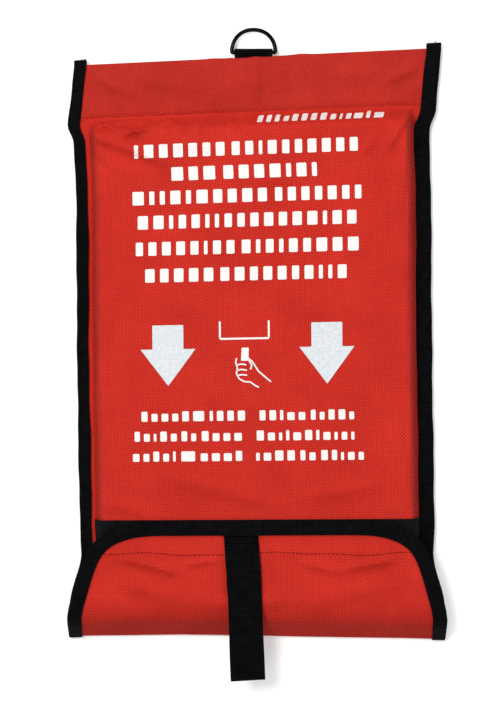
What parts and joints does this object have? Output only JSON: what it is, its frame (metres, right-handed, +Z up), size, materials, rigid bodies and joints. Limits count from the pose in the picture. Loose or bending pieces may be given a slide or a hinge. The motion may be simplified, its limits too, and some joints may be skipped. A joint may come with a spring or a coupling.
{
  "type": "fire blanket in a hanging pouch",
  "caption": "Folded glass-cloth fire blanket in a flat red cloth pouch with black bound edges, a hanging D-ring and a bottom flap that a webbing strap pulls open.",
  "frame": {"origin": "the point on the inside of the D-ring's arch where a wall hook carries it", "axes": "+Z up along the hanging pouch, +Y into the wall, so the front with the flap faces -Y, +X to the viewer's right"},
  "size_m": [0.278, 0.0335, 0.4817],
  "materials": {
    "red_cloth": "coated plain-woven polyester",
    "binding_tape": "ribbed woven binding tape",
    "loop_tape": "brushed loop pile",
    "hook_tape": "moulded hook tape",
    "webbing": "woven webbing",
    "ring_enamel": "gloss black over steel wire",
    "glass_cloth": "plain-woven glass cloth",
    "black_thread": "twisted polyester thread",
    "red_thread": "twisted polyester thread"
  },
  "bodies": {
    "pouch": {"back_panel": "red_cloth", "front_panel": "red_cloth", "header_band": "red_cloth", "left_side_binding": "binding_tape", "right_side_binding": "binding_tape", "left_binding_thread": "black_thread", "right_binding_thread": "black_thread", "loop_strip": "loop_tape", "header_seam_thread": "red_thread", "ring_tab": "webbing", "tab_stitches": "black_thread"},
    "ring": {"hang_ring": "ring_enamel"},
    "fold": {"mouth_fold": "red_cloth", "left_fold_binding": "binding_tape", "right_fold_binding": "binding_tape"},
    "flap": {"closure_flap": "red_cloth", "flap_binding": "binding_tape", "flap_binding_thread": "black_thread", "hook_strip": "hook_tape", "hook_strip_thread": "red_thread", "strap_sewn_end": "webbing", "strap_stitches": "black_thread"},
    "strap": {"pull_strap": "webbing"},
    "blanket": {"folded_blanket": "glass_cloth", "left_pull_tape": "webbing", "right_pull_tape": "webbing"}
  },
  "joints": [
    {"name": "mouth_open", "type": "hinge", "parent": "pouch", "child": "fold", "pos_m": [0, 0.0012, -0.44529], "axis": [1, 0, 0], "range_deg": [0, 123]},
    {"name": "flap_open", "type": "hinge", "parent": "fold", "child": "flap", "pos_m": [0, -0.0249, -0.42829], "axis": [1, 0, 0], "range_deg": [0, 56.9]},
    {"name": "strap_swing", "type": "hinge", "parent": "flap", "child": "strap", "pos_m": [-0.0088, -0.0302, -0.37049], "axis": [-1, 0, 0], "range_deg": [0, 170]},
    {"name": "blanket_drop", "type": "slide", "parent": "pouch", "child": "blanket", "axis": [0, 0, -1], "range_m": [0, 0.0172]},
    {"name": "ring_swing", "type": "hinge", "parent": "pouch", "child": "ring", "pos_m": [0, 0, -0.0152], "axis": [1, 0, 0], "range_deg": [-115, 115]}
  ],
  "couplings": [
    {"joint": "mouth_open", "follows": "blanket_drop", "rad_per_m": 124.8},
    {"joint": "flap_open", "follows": "blanket_drop", "rad_per_m": 57.7}
  ]
}
